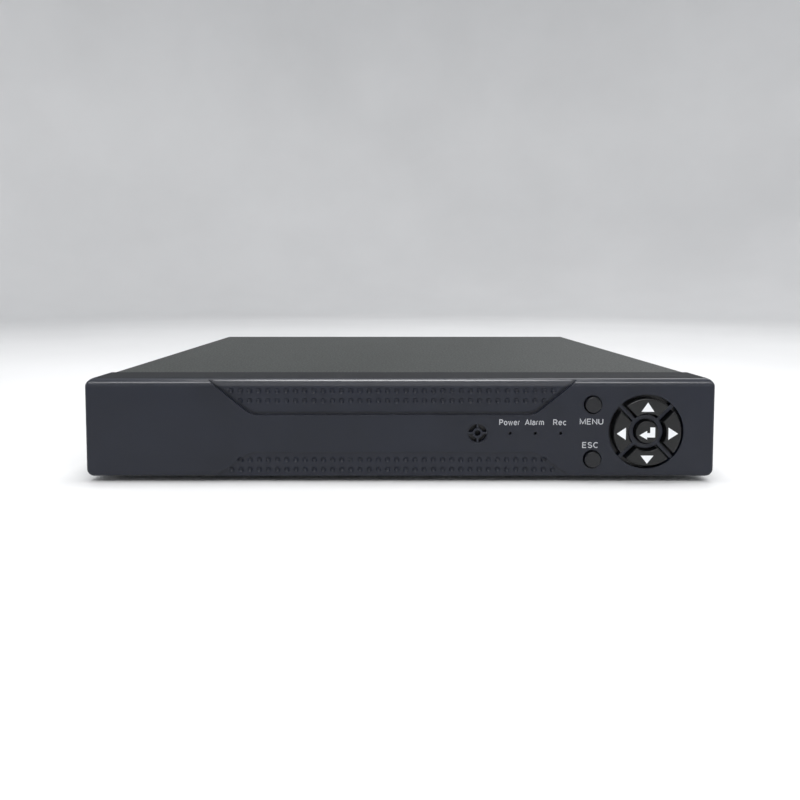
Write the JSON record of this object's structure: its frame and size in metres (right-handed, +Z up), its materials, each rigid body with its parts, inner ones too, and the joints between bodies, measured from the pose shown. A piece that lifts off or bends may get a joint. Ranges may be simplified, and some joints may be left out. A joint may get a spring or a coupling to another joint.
{
  "type": "dvr recorder",
  "caption": "Desktop video recorder for security cameras: moulded front with round keypad, steel case, rear camera, audio, network, monitor and power sockets.",
  "frame": {"origin": "middle of the bounding box in X and Y, underside of the rubber feet in Z", "axes": "+Z up, the front panel faces -Y, the sockets face +Y, +X to the right of someone who looks at the front"},
  "size_m": [0.255, 0.234, 0.0425],
  "materials": {
    "panel_plastic": "fine satin texture, dark grey",
    "cover_steel": "powder coat, dark grey",
    "tray_steel": "zinc-coated steel, pale blue on the rear plate",
    "foot_rubber": "matt black",
    "black_screw": "black zinc",
    "steel_screw": "zinc plated",
    "key_plastic": "satin, near black",
    "panel_key_plastic": "satin, dark grey",
    "plunger_plastic": "plain ivory",
    "switch_plastic": "plain black",
    "board": "green solder mask",
    "light_plastic": "frosted clear",
    "black_plastic": "plain black",
    "plated_metal": "nickel plated",
    "white_plastic": "white",
    "red_plastic": "red",
    "blue_plastic": "blue",
    "contact_brass": "plated",
    "heatsink_metal": "anodised",
    "cast_metal": "machined casting",
    "lid_steel": "brushed",
    "platter_metal": "polished",
    "cable_red": "red sleeve",
    "cable_dark": "dark sleeves",
    "ribbon_white": "white ribbon"
  },
  "bodies": {
    "recorder": {"front_panel": "panel_plastic", "top_cover": "cover_steel", "chassis_tray": "tray_steel", "rubber_feet": "foot_rubber", "case_screws": "black_screw", "panel_screws": "steel_screw", "inner_screws": "steel_screw", "switch_bodies": "switch_plastic", "key_board": "board", "status_lights": "light_plastic", "sounder": "black_plastic", "camera_sockets_1": "plated_metal", "camera_sockets_2": "plated_metal", "camera_sockets_3": "plated_metal", "camera_sockets_4": "plated_metal", "camera_insulators": "white_plastic", "camera_contacts": "contact_brass", "camera_socket_blocks": "black_plastic", "audio_block": "black_plastic", "audio_in_barrel": "plated_metal", "audio_out_barrel": "plated_metal", "audio_in_insert": "white_plastic", "audio_out_insert": "red_plastic", "hd_video_shell": "plated_metal", "hd_video_insert": "black_plastic", "network_stack_shield": "plated_metal", "network_stack_insert": "black_plastic", "network_lights": "light_plastic", "monitor_shell": "plated_metal", "monitor_insert": "blue_plastic", "monitor_jackscrews": "plated_metal", "power_socket_body": "black_plastic", "power_socket_pin": "plated_metal", "main_board": "board", "heatsink": "heatsink_metal", "chips": "black_plastic", "capacitors": "black_plastic", "cell_holder": "black_plastic", "clock_cell": "steel_screw", "disk_base": "cast_metal", "disk_lid": "lid_steel", "disk_data_cable": "cable_red", "disk_power_cable": "cable_dark", "key_ribbon_cable": "ribbon_white"},
    "menu_key_assembly": {"menu_key": "panel_key_plastic", "menu_switch_plunger": "plunger_plastic"},
    "escape_key_assembly": {"escape_key": "panel_key_plastic", "escape_switch_plunger": "plunger_plastic"},
    "up_key_assembly": {"up_key": "key_plastic", "up_switch_plunger": "plunger_plastic"},
    "down_key_assembly": {"down_key": "key_plastic", "down_switch_plunger": "plunger_plastic"},
    "left_key_assembly": {"left_key": "key_plastic", "left_switch_plunger": "plunger_plastic"},
    "right_key_assembly": {"right_key": "key_plastic", "right_switch_plunger": "plunger_plastic"},
    "enter_key_assembly": {"enter_key": "key_plastic", "enter_switch_plunger": "plunger_plastic"},
    "platter_stack": {"disk_platters": "platter_metal"},
    "head_arm": {"disk_actuator": "cast_metal"}
  },
  "joints": [
    {"name": "menu_key_press", "type": "slide", "parent": "recorder", "child": "menu_key_assembly", "axis": [0, 1, 0], "range_m": [0, 0.0005], "stiffness_N_per_m": 1500},
    {"name": "escape_key_press", "type": "slide", "parent": "recorder", "child": "escape_key_assembly", "axis": [0, 1, 0], "range_m": [0, 0.0005], "stiffness_N_per_m": 1500},
    {"name": "up_key_press", "type": "slide", "parent": "recorder", "child": "up_key_assembly", "axis": [0, 1, 0], "range_m": [0, 0.0005], "stiffness_N_per_m": 1500},
    {"name": "down_key_press", "type": "slide", "parent": "recorder", "child": "down_key_assembly", "axis": [0, 1, 0], "range_m": [0, 0.0005], "stiffness_N_per_m": 1500},
    {"name": "left_key_press", "type": "slide", "parent": "recorder", "child": "left_key_assembly", "axis": [0, 1, 0], "range_m": [0, 0.0005], "stiffness_N_per_m": 1500},
    {"name": "right_key_press", "type": "slide", "parent": "recorder", "child": "right_key_assembly", "axis": [0, 1, 0], "range_m": [0, 0.0005], "stiffness_N_per_m": 1500},
    {"name": "enter_key_press", "type": "slide", "parent": "recorder", "child": "enter_key_assembly", "axis": [0, 1, 0], "range_m": [0, 0.0005], "stiffness_N_per_m": 1500},
    {"name": "platter_spin", "type": "hinge", "parent": "recorder", "child": "platter_stack", "pos_m": [0.0675, -0.03865, 0.0175], "axis": [0, 0, 1], "continuous": true},
    {"name": "head_arm_swing", "type": "hinge", "parent": "recorder", "child": "head_arm", "pos_m": [0.0115, -0.05865, 0.0175], "axis": [0, 0, -1], "range_deg": [0, 35]}
  ]
}
